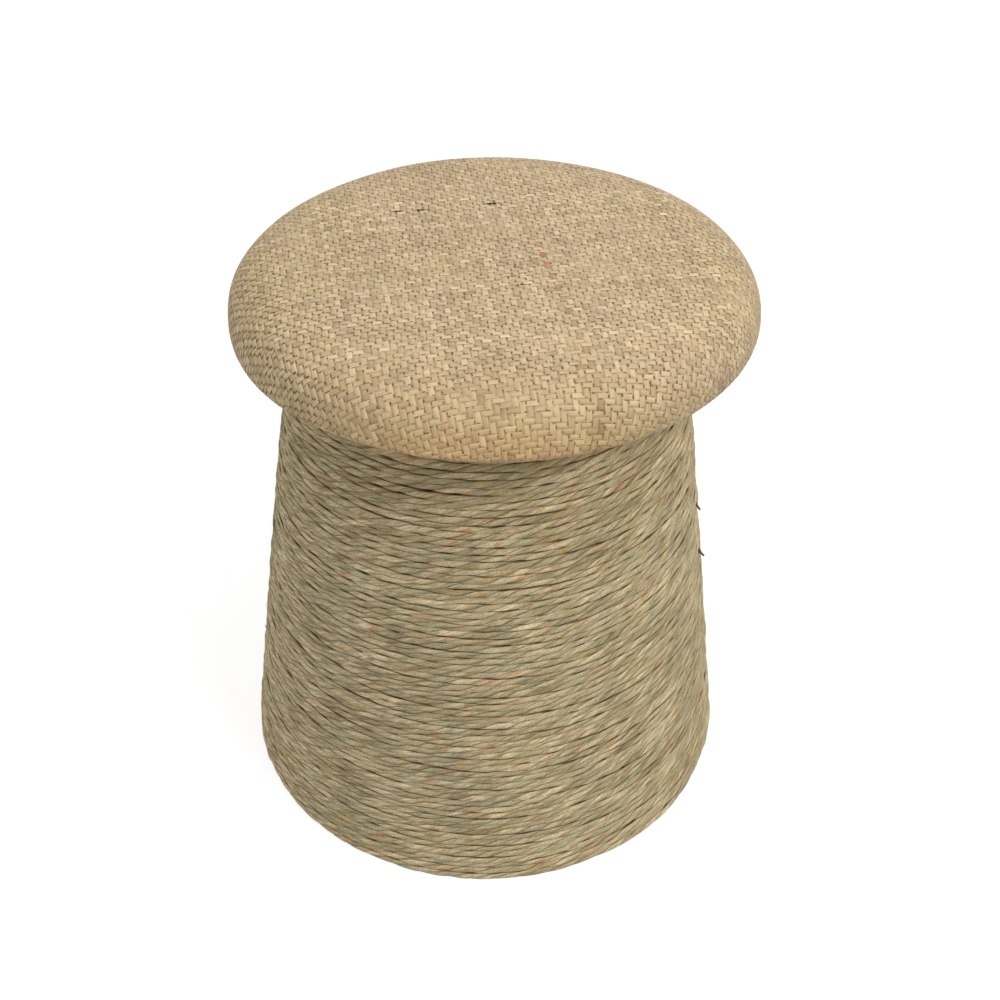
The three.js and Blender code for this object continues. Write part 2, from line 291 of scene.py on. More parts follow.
# Grain: scales of noise, and how deep relief is
STREAK_SCALES = (2.6, 0.24, 7.3)  # to each half width, crossing and strip
BLADE_SCALES = (1.7, 34.0, 3.7)  # to each strand, metre and number of a strand
FIBRE_SCALES = (10.0, 80.0, 1.0)
FLECK_SCALES = (1.9, 55.0, 1.0)
FLECK_LAYER = 5.0  # place of the flecks in the third direction of their noise
FLECK_HUE_SCALE = 25.0  # this one and the next ones are to each metre
SEAM_HUE_SCALE = 41.0
ROW_LINE_SCALE = 70.0
GRASS_PATCH_SCALE = 26.0
GRASS_FUZZ_SCALE = 620.0
PAD_GRAIN_SCALE = 900.0
PLYWOOD_SCALE = 30.0
STAVE_SCALE = 60.0
NYLON_SCALE = 400.0
STEEL_SCALE = 600.0
PLYWOOD_STRETCH = 12.0  # of the grain's scale along Z
STAVE_STRETCH = 0.08
STRIP_RELIEF = 0.0003
CORD_RELIEF = 0.0008
ROUGH_RELIEF = 0.0004
SMOOTH_RELIEF = 0.0002

# Painted light and shade on the drum: two places on X or in height, and the values there
SEAT_SHADOW_HEIGHTS = (0.250, 0.385, 0.0, 1.0)  # share of the painted shadow of the seat, over the upper part
SEAT_SHADOW_SIDES = (-0.08, 0.08, 0.16, 0.09)  # brightness that the painted shadow takes, more on the left
SIDE_LIGHT_SIDES = (-0.06, 0.04, 0.94, 1.04)  # painted side light: brightness from left to right
LEFT_OUTLINE_LIGHT = (-0.15, -0.10, 1.01, 0.94)  # painted light: brightness near the left outline
FOOT_BOUNCE_LIGHT = (0.030, 0.080, 0.08, 0.0)  # brightness that the foot gains, as painted bounce light from the floor

# Studio
FLOOR_HALF_WIDTH = 9.0
FLOOR_LIT = (0.60, 0.60, 0.60, 1.0)
FLOOR_FAINT = (0.34, 0.34, 0.34, 1.0)
FLOOR_GLOW = (0.7, 3.0, 0.81, 0.92)  # two distances from the stool, and the strengths there
WORLD_STRENGTH = 0.24
LAMP_AIM = (0.0, 0.0, 0.25)
LAMPS = (
    # name, place, size, power
    ("key", (1.3, -1.1, 2.0), 1.2, 31.0),
    ("top", (0.2, 0.3, 2.2), 1.6, 14.0),
    ("fill", (-1.55, -1.36, 1.35), 1.6, 13.9),
)

# Camera, from a fit of the outline to the photograph
CAMERA_PLACE = Vector((0.0, -0.8969, 0.9633))
CAMERA_PITCH = 0.688
CAMERA_YAW = 0.012
CAMERA_ROLL = 0.013
CAMERA_LENS = 52.2
CAMERA_SENSOR = 36.0


# Numbers

def wander(positions, reach, seed):
    """Smooth noise between -1 and 1 along a line, which changes over about the distance reach."""
    cells = np.asarray(positions, float) / reach
    first = int(np.floor(cells.min()))
    values = np.random.default_rng(seed).uniform(-1, 1, int(np.floor(cells.max())) - first + 2)
    whole = np.floor(cells).astype(int)
    share = cells - whole
    eased = share * share * (3 - 2 * share)
    left = values[whole - first]
    right = values[whole - first + 1]
    return left + (right - left) * eased


def swell(x, y, reach, seed):
    """Smooth noise of about -1 to 1 over a plane, as a sum of waves in random directions."""
    rng = np.random.default_rng(seed)
    total = np.zeros_like(x)
    for _ in range(SWELL_WAVES):
        angle, phase = rng.uniform(0, TURN, 2)
        length = reach * rng.uniform(*SWELL_LENGTHS)
        total += np.sin((x * math.cos(angle) + y * math.sin(angle)) * TURN / length + phase)
    return total / math.sqrt(SWELL_WAVES)


def share_past(distance, start, depth):
    """From 0, where the distance is start or less, to 1, a depth further on."""
    return np.clip((distance - start) / depth, 0, 1)


# Meshes

def tube_faces(rings, sides, first):
    """Quads and end caps of a tube whose points are numbered ring by ring from first."""
    ring = np.arange(rings - 1)[:, None] * sides + first
    side = np.arange(sides)[None, :]
    a = ring + side
    b = ring + (side + 1) % sides
    quads = np.stack([a, b, b + sides, a + sides], axis=-1).reshape(-1, 4)
    start = np.arange(first, first + sides)[::-1]
    end = np.arange(first + (rings - 1) * sides, first + rings * sides)
    return quads, [start, end]


def join_tubes(tubes):
    """Points, quads and caps of several tubes, each given as rings of points."""
    points, quads, caps = [], [], []
    first = 0
    for rings in tubes:
        tube_quads, tube_caps = tube_faces(rings.shape[0], rings.shape[1], first)
        first += rings.shape[0] * rings.shape[1]
        points.append(rings.reshape(-1, 3))
        quads.append(tube_quads)
        caps.extend(tube_caps)
    return np.concatenate(points), np.concatenate(quads), caps


def add_object(name, data):
    made = bpy.data.objects.new(name, data)
    bpy.context.scene.collection.objects.link(made)
    return made


def mesh_object(name, points, quads, caps, attributes=None):
    """A smooth mesh object; attributes are named arrays with one colour or vector for each point."""
    mesh = bpy.data.meshes.new(name)
    corners = np.concatenate([quads.ravel(), *caps]).astype(np.int32)
    sizes = np.array([4] * len(quads) + [len(cap) for cap in caps])
    starts = np.concatenate([[0], np.cumsum(sizes)[:-1]]).astype(np.int32)
    mesh.vertices.add(len(points))
    mesh.vertices.foreach_set("co", np.ascontiguousarray(points, np.float32).ravel())
    mesh.loops.add(len(corners))
    mesh.loops.foreach_set("vertex_index", corners)
    mesh.polygons.add(len(sizes))
    mesh.polygons.foreach_set("loop_start", starts)
    mesh.polygons.foreach_set("use_smooth", np.ones(len(sizes), bool))
    mesh.update(calc_edges=True)
    for key, values in (attributes or {}).items():
        kind = "color" if values.shape[1] == 4 else "vector"
        layer = mesh.attributes.new(key, "FLOAT_" + kind.upper(), "POINT")
        layer.data.foreach_set(kind, np.ascontiguousarray(values, np.float32).ravel())
    return add_object(name, mesh)


def finish_piece(piece, material):
    """Give a piece its material and the body that it rides on."""
    piece.data.materials.append(material)
    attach(piece, "root")
    return piece


# Shader nodes

def add_node(tree, kind, settings=None, inputs=None):
    """A shader node. Its inputs are values or other nodes' outputs, by the input's name or number."""
    made = tree.nodes.new("ShaderNode" + kind)
    for key, value in (settings or {}).items():
        setattr(made, key, value)
    for key, value in (inputs or {}).items():
        if isinstance(value, bpy.types.NodeSocket):
            tree.links.new(value, made.inputs[key])
        else:
            made.inputs[key].default_value = value
    return made


def calculate(tree, operation, *values):
    made = add_node(tree, "Math", {"operation": operation}, dict(enumerate(values)))
    return made.outputs[0]


def multiply(tree, a, b):
    return calculate(tree, "MULTIPLY", a, b)


def combine(tree, x, y, z):
    return add_node(tree, "CombineXYZ", inputs={0: x, 1: y, 2: z}).outputs[0]


def object_place(tree):
    return add_node(tree, "TexCoord").outputs["Object"]


def parts_of(tree, vector):
    return add_node(tree, "SeparateXYZ", inputs={0: vector}).outputs


def noise(tree, place, scale, detail=2.0):
    inputs = {"Vector": place, "Scale": scale, "Detail": detail}
    return add_node(tree, "TexNoise", inputs=inputs).outputs["Fac"]


def scaled_noise(tree, parts, scales, detail):
    """Noise at a place whose three parts are multiplied by the scales."""
    place = combine(tree, *(multiply(tree, *pair) for pair in zip(parts, scales)))
    return noise(tree, place, 1.0, detail)


def noise_along(tree, along, scale, detail=1.0):
    return noise(tree, combine(tree, multiply(tree, along, scale), 0.0, 0.0), 1.0, detail)


def own_numbers(tree, settings, inputs):
    """Two random numbers from 0 to 1, which are the same wherever the inputs are."""
    own = add_node(tree, "TexWhiteNoise", settings, inputs).outputs
    second = add_node(tree, "SeparateColor", inputs={0: own["Color"]}).outputs[1]
    return own["Value"], second


def remap(tree, value, low, high, new_low=0.0, new_high=1.0):
    """The value's place between low and high, carried over to between new_low and new_high."""
    inputs = {"Value": value, "From Min": low, "From Max": high, "To Min": new_low, "To Max": new_high}
    return add_node(tree, "MapRange", inputs=inputs).outputs[0]


def ramp(tree, value, stops):
    """A colour ramp with stops of (place, (red, green, blue))."""
    made = add_node(tree, "ValToRGB", inputs={"Fac": value})
    elements = made.color_ramp.elements
    while len(elements) < len(stops):
        elements.new(1.0)
    for element, (place, colour) in zip(elements, stops):
        element.position = place
        element.color = (*colour, 1.0)
    return made.outputs["Color"]


def mix_colour(tree, factor, a, b, blend="MIX"):
    settings = {"data_type": "RGBA", "blend_type": blend}
    inputs = {0: factor}
    for key, colour in ((6, a), (7, b)):
        inputs[key] = (*colour, 1.0) if isinstance(colour, tuple) else colour
    return add_node(tree, "Mix", settings, inputs).outputs[2]


def shade(tree, colour, brightness):
    """The colour times a brightness."""
    inputs = {0: colour, "Scale": brightness}
    return add_node(tree, "VectorMath", {"operation": "SCALE"}, inputs).outputs[0]


def attribute(tree, name, output="Color"):
    return add_node(tree, "Attribute", {"attribute_name": name}).outputs[output]


def set_surface(tree, shader, colour, height, strength, depth):
    """Link a colour to a shader, and the relief that a height gives."""
    inputs = {"Height": height, "Strength": strength, "Distance": depth}
    relief = add_node(tree, "Bump", inputs=inputs)
    tree.links.new(colour, shader.inputs["Base Color"])
    tree.links.new(relief.outputs[0], shader.inputs["Normal"])


def new_material(name, roughness, specular=0.5, metallic=0.0):
    """A material with its Principled shader's plain values set, as (material, tree, shader)."""
    material = bpy.data.materials.new(name)
    material.use_nodes = True
    tree = material.node_tree
    shader = tree.nodes["Principled BSDF"]
    shader.inputs["Roughness"].default_value = roughness
    shader.inputs["Specular IOR Level"].default_value = specular
    shader.inputs["Metallic"].default_value = metallic
    return material, tree, shader


# Materials

def float_end_shade(tree, across, crossings, number, openness):
    """How dark the painted shade in the slits at the floats' ends is. Each has its own; loose ones are
    longer and darker.
    """
    to_dip = calculate(tree, "PINGPONG", calculate(tree, "SUBTRACT", crossings, 1 + FLOAT_MIDDLE), 1.0)
    to_dip = calculate(tree, "DIVIDE", to_dip, remap(tree, openness, TIGHT, LOOSE, 0.72, 1.0))
    dip = remap(tree, to_dip, 0.16, 0.32, 1.0, 0.0)
    from_float = calculate(tree, "SUBTRACT", crossings, FLOAT_MIDDLE)
    float_number = calculate(tree, "FLOOR", multiply(tree, from_float, 0.5))
    end_place = combine(tree, float_number, number, 0.0)
    own_strength, end_middle = own_numbers(tree, {}, {"Vector": end_place})
    end_middle = calculate(tree, "SUBTRACT", end_middle, 0.5)
    end_middle = multiply(tree, end_middle, remap(tree, openness, TIGHT, LOOSE, 1.5, 1.2))
    from_end_middle = calculate(tree, "ABSOLUTE", calculate(tree, "SUBTRACT", across, end_middle))
    end_half = remap(tree, openness, TIGHT, LOOSE, 0.68, 0.95)
    from_end_middle = calculate(tree, "DIVIDE", from_end_middle, end_half)
    end_width = remap(tree, from_end_middle, 0.50, 0.90, 1.0, 0.0)
    strength = remap(tree, own_strength, 0.0, 1.0, 0.40, 1.40)
    strength = multiply(tree, strength, remap(tree, openness, TIGHT, GAPING, 0.72, 1.12))
    dark = multiply(tree, multiply(tree, dip, end_width), strength)
    return calculate(tree, "MINIMUM", dark, 0.95)


def mat_material():
    """Flat straw strips: fine streaks along them, painted shade at their edges and in the slits where a
    float dips under.
    """
    material, tree, shader = new_material("split_strips", roughness=0.62, specular=0.3)
    across, crossings, number = parts_of(tree, attribute(tree, "strip_place", "Vector"))
    openness = attribute(tree, "strip_colour", "Alpha")
    streaks = scaled_noise(tree, (across, crossings, number), STREAK_SCALES, 3.0)
    streak_shade = remap(tree, streaks, 0.3, 0.7, 0.84, 1.14)
    colour = shade(tree, attribute(tree, "strip_colour"), streak_shade)
    # Painted shade at the strips' edges
    edge = remap(tree, calculate(tree, "ABSOLUTE", across), 0.84, 1.0, 0.0, 0.34)
    colour = mix_colour(tree, edge, colour, STRIP_EDGE_SHADE)
    # Painted shade in the slits at the float ends
    looseness = remap(tree, openness, TIGHT, LOOSE)
    slit_shade_colour = mix_colour(tree, looseness, FRONT_SLIT_SHADE, SLIT_SHADE)
    dark = float_end_shade(tree, across, crossings, number, openness)
    colour = mix_colour(tree, dark, colour, slit_shade_colour)
    set_surface(tree, shader, colour, streaks, 0.25, STRIP_RELIEF)
    return material


def blade_colour(tree, strand, along, lobe, lobe_tone, lobe_hue):
    """Colour of the grass blades, from strand to strand and along them."""
    blades = scaled_noise(tree, (strand, along, lobe), BLADE_SCALES, 2.0)
    blade_tone = remap(tree, blades, 0.30, 0.70, 0.0, 0.55)
    tone = calculate(tree, "ADD", blade_tone, multiply(tree, lobe_tone, 0.45))
    colour = ramp(tree, tone, BLADE_TONES)
    grey_green = remap(tree, lobe_hue, 0.55, 0.85, 0.0, 0.50)
    colour = mix_colour(tree, grey_green, colour, GREY_GREEN_BLADE)
    cream = remap(tree, lobe_hue, 0.22, 0.10, 0.0, 0.44)
    return mix_colour(tree, cream, colour, CREAM_BLADE)


def add_flecks(tree, colour, strand, along):
    """The colour with reddish, yellow and green flecks."""
    flecks = scaled_noise(tree, (strand, along, FLECK_LAYER), FLECK_SCALES, 1.0)
    yellow = remap(tree, noise_along(tree, along, FLECK_HUE_SCALE), 0.4, 0.6)
    warm = remap(tree, flecks, 0.585, 0.66, 0.0, 0.70)
    colour = mix_colour(tree, warm, colour, mix_colour(tree, yellow, RED_FLECK, YELLOW_FLECK))
    green = remap(tree, flecks, 0.37, 0.29, 0.0, 0.5)
    return mix_colour(tree, green, colour, GREEN_FLECK)


def groove_shade_and_broken_ends(tree, seam, along, outward, lobe_tone):
    """How dark the painted shade in the seams between strands and in the lines between rows is, and how
    dark the broken ends are.
    """
    seam_depth = remap(tree, lobe_tone, 0.0, 1.0, 0.90, 0.30)
    seam_dark = multiply(tree, remap(tree, seam, 0.0, 0.10, 1.0, 0.0), seam_depth)
    row_depth = remap(tree, noise_along(tree, along, ROW_LINE_SCALE, 2.0), 0.36, 0.56, 0.72, 1.0)
    row_depth = multiply(tree, row_depth, remap(tree, seam, 0.12, 0.38, 1.0, 0.75))
    row_dark = multiply(tree, remap(tree, outward, 0.45, 0.62, 1.0, 0.0), row_depth)
    broken_dark = remap(tree, outward, -0.90, -0.95, 0.0, 0.95)
    return calculate(tree, "MAXIMUM", calculate(tree, "MAXIMUM", seam_dark, row_dark), broken_dark)


def tone_and_painted_light(tree, brightness):
    """The brightness from place to place on the drum, painted light and shade included, and the share of
    the seat's painted shadow there.
    """
    where = object_place(tree)
    patches = remap(tree, noise(tree, where, GRASS_PATCH_SCALE, 1.0), 0.35, 0.65, 0.92, 1.08)
    fuzz = remap(tree, noise(tree, where, GRASS_FUZZ_SCALE, 1.0), 0.30, 0.70, 0.86, 1.14)
    brightness = multiply(tree, brightness, multiply(tree, patches, fuzz))
    x, _, height = parts_of(tree, where)
    # Painted shadow of the seat over the drum's upper part, deeper on the left
    seat_shadow_share = remap(tree, height, *SEAT_SHADOW_HEIGHTS)
    seat_shadow_depth = multiply(tree, seat_shadow_share, remap(tree, x, *SEAT_SHADOW_SIDES))
    # Painted light, growing from left to right and brighter again near the left outline
    middle = remap(tree, x, *SIDE_LIGHT_SIDES)
    painted_light = calculate(tree, "MAXIMUM", middle, remap(tree, x, *LEFT_OUTLINE_LIGHT))
    # Painted bounce light at the foot
    painted_light = calculate(tree, "ADD", painted_light, remap(tree, height, *FOOT_BOUNCE_LIGHT))
    return multiply(tree, brightness, calculate(tree, "SUBTRACT", painted_light, seat_shadow_depth)), seat_shadow_share


def cord_material():
    """Twisted grass: blades of several colours, with painted shade in the seams between strands and
    between rows.
    """
    material, tree, shader = new_material("grass_cord", roughness=0.72, specular=0.25)
    strand, along, outward = parts_of(tree, attribute(tree, "cord_place", "Vector"))
    lobe = calculate(tree, "FLOOR", strand)
    lobe_tone, lobe_hue = own_numbers(tree, {"noise_dimensions": "1D"}, {"W": lobe})
    seam = calculate(tree, "PINGPONG", calculate(tree, "FRACT", strand), 0.5)
    fibres = scaled_noise(tree, (strand, along, 0.0), FIBRE_SCALES, 3.0)
    colour = blade_colour(tree, strand, along, lobe, lobe_tone, lobe_hue)
    colour = add_flecks(tree, colour, strand, along)
    # Painted light and shade over the drum; the seat's painted shadow also warms the colour
    brightness, seat_shadow_share = tone_and_painted_light(tree, remap(tree, fibres, 0.3, 0.7, 0.60, 1.42))
    colour = shade(tree, mix_colour(tree, seat_shadow_share, colour, SEAT_SHADOW_TINT, "MULTIPLY"), brightness)
    # Painted shade in the seams and row lines, brown to red-brown
    redness = remap(tree, noise_along(tree, along, SEAM_HUE_SCALE), 0.5, 0.62)
    groove_shade_colour = mix_colour(tree, redness, BROWN_GROOVE_SHADE, RED_GROOVE_SHADE)
    dark = groove_shade_and_broken_ends(tree, seam, along, outward, lobe_tone)
    relief = calculate(tree, "ADD", remap(tree, seam, 0.0, 0.16), fibres)
    set_surface(tree, shader, mix_colour(tree, dark, colour, groove_shade_colour), relief, 0.7, CORD_RELIEF)
    return material


def grain_material(name, tones, scale, detail, strength, depth, **plain_values):
    """A material with one fine grain all over it."""
    material, tree, shader = new_material(name, **plain_values)
    grain = noise(tree, object_place(tree), scale, detail)
    set_surface(tree, shader, ramp(tree, grain, tones), grain, strength, depth)
    return material


# The pad's dark colour is painted shade under the mat's strips
def pad_shade_material():
    grain = (PAD_SHADE_TONES, PAD_GRAIN_SCALE, 2.0, 0.3, ROUGH_RELIEF)
    return grain_material("pad_painted_shade", *grain, roughness=0.9, specular=0.2)


def nylon_material():
    grain = (NYLON_TONES, NYLON_SCALE, 2.0, 0.15, SMOOTH_RELIEF)
    return grain_material("glide_nylon", *grain, roughness=0.45)


def steel_material():
    grain = (STEEL_TONES, STEEL_SCALE, 3.0, 0.1, SMOOTH_RELIEF)
    return grain_material("zinc_steel", *grain, roughness=0.35, metallic=1.0)


def wood_material(name, tones, scale, stretch):
    """Planed wood whose grain runs along Z, or lies flat where stretch is above 1."""
    material, tree, shader = new_material(name, roughness=0.7, specular=0.3)
    inputs = {"Vector": object_place(tree), "Scale": (1.0, 1.0, stretch)}
    grain = noise(tree, add_node(tree, "Mapping", inputs=inputs).outputs[0], scale, 4.0)
    set_surface(tree, shader, ramp(tree, grain, tones), grain, 0.2, ROUGH_RELIEF)
    return material


# Cushion and mat

def crown_outline():
    """Radii and heights from the crown's middle, over the shoulder to the inner edge of the flange."""
    across = np.sin(np.linspace(0, TURN / 4, OUTLINE_SAMPLES))
    up = (1 - across ** CROWN_FLATNESS) ** (1 / SHOULDER_SQUARENESS)
    rim_angle = np.linspace(0, TURN / 4, RIM_SAMPLES)[1:]
    rim_radius = SEAT_RADIUS - RIM_REACH * (1 - np.abs(np.cos(rim_angle)) ** (2 / RIM_SQUARENESS))
    rim_height = WIDEST_HEIGHT - RIM_DROP * np.sin(rim_angle) ** (2 / RIM_SQUARENESS)
    flange_radius = np.linspace(SEAT_RADIUS - RIM_REACH, FLANGE_INNER_RADIUS, FLANGE_SAMPLES)[1:]
    flange_height = np.full(len(flange_radius), WIDEST_HEIGHT - RIM_DROP)
    radius = np.concatenate([SEAT_RADIUS * across, rim_radius, flange_radius])
    height = np.concatenate([WIDEST_HEIGHT + CROWN_RISE * up, rim_height, flange_height])
    return radius, height


def reach_along(radius, height):
    """How far each point of the outline is from the first one, measured along it."""
    steps = np.hypot(np.diff(radius), np.diff(height))
    return np.concatenate([[0.0], np.cumsum(steps)])


def outward_normals(radius, height, reach):
    """The outline's outward directions, as their parts away from the axis and up."""
    along_radius = np.gradient(radius, reach)
    along_height = np.gradient(height, reach)
    length = np.hypot(along_radius, along_height)
    return -along_height / length, along_radius / length


OUTLINE_RADIUS, OUTLINE_HEIGHT = crown_outline()
OUTLINE_REACH = reach_along(OUTLINE_RADIUS, OUTLINE_HEIGHT)
NORMAL_RADIUS, NORMAL_HEIGHT = outward_normals(OUTLINE_RADIUS, OUTLINE_HEIGHT, OUTLINE_REACH)
MAT_REACH = OUTLINE_REACH[-1]
WIDEST_REACH = OUTLINE_REACH[OUTLINE_SAMPLES - 1]


def on_cushion(x, y, lift):
    """Points on the cushion for places x, y of the flat mat, which is wrapped over it from the middle."""
    reach = np.maximum(np.hypot(x, y), MIDDLE_GUARD)
    radius = np.interp(reach, OUTLINE_REACH, OUTLINE_RADIUS)
    height = np.interp(reach, OUTLINE_REACH, OUTLINE_HEIGHT)
    normal_radius = np.interp(reach, OUTLINE_REACH, NORMAL_RADIUS)
    normal_height = np.interp(reach, OUTLINE_REACH, NORMAL_HEIGHT)
    free_share = np.where(normal_height < 0, np.abs(normal_radius), 1.0)
    raised = lift + UNEVEN_HEIGHT * free_share * swell(x, y, UNEVEN_REACH, 11)
    out = radius + raised * normal_radius
    out_x = out * x / reach
    out_y = out * y / reach
    tilt = free_share * (TILT_ACROSS * out_x + TILT_AWAY * out_y)
    turned = np.arctan2(y, x) % TURN - RIM_SAG_ANGLE
    to_rim = (reach - WIDEST_REACH) / RIM_SAG_REACH
    sag = RIM_SAG * np.exp(-(turned / RIM_SAG_WIDTH) ** 2 - to_rim ** 2)
    return np.stack([SEAT_CENTRE + out_x, out_y, height + tilt - sag + raised * normal_height], axis=-1)


def strip_colours(along, middle, seed, red):
    """Colours along one strip: one straw colour drifts into another, the brightness changes, and painted
    light and shade fall on the front, its rim and the left side.
    """
    x = middle[:, 0]
    y = middle[:, 1]
    rng = np.random.default_rng(seed)
    first, second = STRAW_COLOURS[rng.choice(len(STRAW_COLOURS), 2, p=STRAW_WEIGHTS)]
    share = (0.5 + 0.5 * wander(along, STRAW_DRIFT_REACH, seed + 1))[:, None]
    colours = first + (second - first) * share
    brown = BROWN_SHARE * share_past(wander(along, BROWN_REACH, seed + 4), BROWN_START, BROWN_DEPTH)
    if red:
        brown = np.clip((along - RED_MIDDLE) / RED_REACH, *RED_BROWN_LIMITS)
    colours += (BROWN_STRAW - colours) * brown[:, None]
    if red:
        redness = np.exp(-((along - RED_MIDDLE) / RED_REACH) ** 2)[:, None]
        colours += (RED_STRAW - colours) * redness
    spread = STRIP_SPREAD * rng.uniform(-1, 1)
    spread = spread + FLOAT_SPREAD * wander(along, FLOAT_SPREAD_REACH, seed + 2)
    spread += SPOT_SPREAD * wander(along, SPOT_SPREAD_REACH, seed + 6)
    spread += PATCH_SPREAD * swell(x, y, PATCH_SPREAD_REACH, 13)
    front = share_past(-y, FRONT_START, FRONT_DEPTH)[:, None]
    rim = share_past(-y, FRONT_RIM_START, FRONT_RIM_DEPTH)[:, None]
    left = share_past(-x, LEFT_START, LEFT_DEPTH)[:, None]
    brightness = 1 + spread[:, None] * (BACK_SPREAD_SHARE + (1 - BACK_SPREAD_SHARE) * front)
    # Painted warm shade towards the front, painted light at the rim and painted shade on the left side
    colours *= brightness * (1 + front * (FRONT_WARM_SHADE - 1)) * (1 + rim * (FRONT_RIM_LIGHT - 1))
    colours *= 1 + left * (LEFT_SHADE - 1)
    return colours


def mat_gape(x, y):
    """How far the strips stand apart where the mat gapes, from 0 to 1."""
    turned = np.arctan2(y, x) % TURN - GAPE_ANGLE
    return np.exp(-(turned / GAPE_WIDTH) ** 2) * share_past(np.hypot(x, y), GAPE_START, GAPE_DEPTH)


def mat_openness(x, y):
    """How open the float ends are, which sets their painted shade: less towards the front, more at its rim
    and where the mat gapes.
    """
    closing = FRONT_CLOSING * share_past(-y, FRONT_START, FRONT_DEPTH)
    opening = FRONT_RIM_OPENING * share_past(-y, FRONT_RIM_START, FRONT_RIM_DEPTH)
    patches = 1 + OPENNESS_UNEVENNESS * swell(x, y, OPENNESS_REACH, 12)
    return np.clip(patches * (1 - closing + opening + mat_gape(x, y)), *OPENNESS_LIMITS)


def weave_height(crossings):
    """Height of a weft, in shares of the lift, where the sum of the two strips' numbers is crossings."""
    wave = np.cos((crossings - FLOAT_MIDDLE) * TURN / TWILL_REPEAT)
    return np.tanh(LIFT_SQUARENESS * wave) / math.tanh(LIFT_SQUARENESS)


def counting_direction(angle):
    """The direction in the flat mat in which strips are counted, at an angle from +X."""
    return np.array([math.cos(angle), math.sin(angle)])


def slit_drift(number, along, slit):
    """How far a weft is pushed aside by a slit."""
    boundary, place, half_length, half_gap = slit
    apart = number - boundary
    share = math.exp(-abs(apart) / SLIT_REACH)
    return half_gap * math.copysign(share, apart) * np.exp(-((along - place) / half_length) ** 2)


def slit_width(points, slit):
    """Shares of a warp's width that are left over a slit."""
    boundary, place, half_length, half_gap = slit
    counted = counting_direction(WEFT_COUNTED)
    along = points @ np.array([counted[1], -counted[0]]) - place
    apart = points @ counted - boundary * WEFT_PITCH
    return 1 - SLIT_THINNING * np.exp(-(along / half_length) ** 2 - (apart / (2 * half_gap)) ** 2)


class Weave:
    """One of the mat's two directions: how its strips are counted, and how they cross the other ones."""

    def __init__(self, counted, pitch, crossed_counted, crossed_pitch, side, seed):
        self.normal = counting_direction(counted)
        self.direction = np.array([self.normal[1], -self.normal[0]])
        self.pitch = pitch
        self.crossed_normal = counting_direction(crossed_counted)
        self.crossed_pitch = crossed_pitch
        self.side = side  # 1 where a strip is over at the middle of a weft's upper float, -1 where under
        self.seed = seed

    def unevenness(self, number, along, middle, seed):
        """How far one strip strays sideways, and its half width, along it."""
        drift = STRIP_DRIFT * wander(along, STRIP_DRIFT_REACH, seed)
        drift += STRIP_WOBBLE * wander(along, STRIP_WOBBLE_REACH, seed + 11)
        width = 1 + STRIP_WIDTH_UNEVENNESS * wander(along, STRIP_DRIFT_REACH, seed + 5)
        for slit in MAT_SLITS:
            if self.side > 0:
                drift += slit_drift(number, along, slit)
            else:
                width *= slit_width(middle, slit)
        if self.side > 0:
            width *= 1 - GAPE_SHARE * mat_gape(middle[:, 0], middle[:, 1])
        return drift, self.pitch / 2 * width

    def rings(self, number):
        """The rings of points of one strip, with their colours and places on it."""
        offset = number * self.pitch
        half = math.sqrt(MAT_REACH ** 2 - offset ** 2)
        count = max(LEAST_RINGS, int(2 * half / self.crossed_pitch * STEPS_PER_CROSSING))
        along = np.linspace(-half, half, count)
        seed = self.seed + 100 * (int(number) + 500)
        middle = along[:, None] * self.direction + offset * self.normal
        crossings = number + middle @ self.crossed_normal / self.crossed_pitch
        level = WEAVE_LIFT * self.side * weave_height(crossings) - WEAVE_LIFT
        roll = STRIP_ROLL * wander(along, STRIP_ROLL_REACH, seed + 3)
        drift, half_width = self.unevenness(number, along, middle, seed)
        rings = []
        for across, height, camber in STRIP_SECTION:
            place = middle + (drift + across * half_width)[:, None] * self.normal
            lift = level + height * STRIP_THICKNESS + camber * STRIP_CAMBER + across * roll
            rings.append(on_cushion(place[:, 0], place[:, 1], lift))
        sides = len(STRIP_SECTION)
        red = self.side < 0 and number == RED_WARP
        colours = strip_colours(along, middle, seed + 9, red)
        openness = (1 + WEFT_OPENNESS * self.side) * mat_openness(middle[:, 0], middle[:, 1])[:, None]
        colours = np.repeat(np.concatenate([colours, openness], axis=1)[:, None], sides, axis=1)
        places = np.zeros((count, sides, 3))
        places[:, :, 0] = [section[0] for section in STRIP_SECTION]
        places[:, :, 1] = crossings[:, None]
        places[:, :, 2] = number
        return np.stack(rings, axis=1), colours, places


def build_strips(name, weave, numbers, material):
    """One piece of the mat: the strips with these numbers."""
    strips = [weave.rings(number) for number in numbers]
    points, quads, caps = join_tubes([rings for rings, _, _ in strips])
    attributes = {
        "strip_colour": np.concatenate([colours.reshape(-1, 4) for _, colours, _ in strips]),
        "strip_place": np.concatenate([places.reshape(-1, 3) for _, _, places in strips]),
    }
    piece = mesh_object(name, points, quads, caps, attributes)
    return finish_piece(piece, material)


def build_mat():
    """The mat in pieces. A weft is over a warp where their numbers add up to 0 or 1, modulo the repeat."""
    material = mat_material()
    warps = Weave(WARP_COUNTED, WARP_PITCH, WEFT_COUNTED, WEFT_PITCH, side=-1, seed=3_000_000)
    wefts = Weave(WEFT_COUNTED, WEFT_PITCH, WARP_COUNTED, WARP_PITCH, side=1, seed=7_000_000)
    pieces = []
    for kind, weave in (("warp", warps), ("weft", wefts)):
        last = int(MAT_REACH / weave.pitch - 1)
        for i, numbers in enumerate(np.array_split(np.arange(-last, last + 1), MAT_PIECES)):
            pieces.append(build_strips(f"mat_{kind}_{i + 1}", weave, numbers, material))
    return pieces


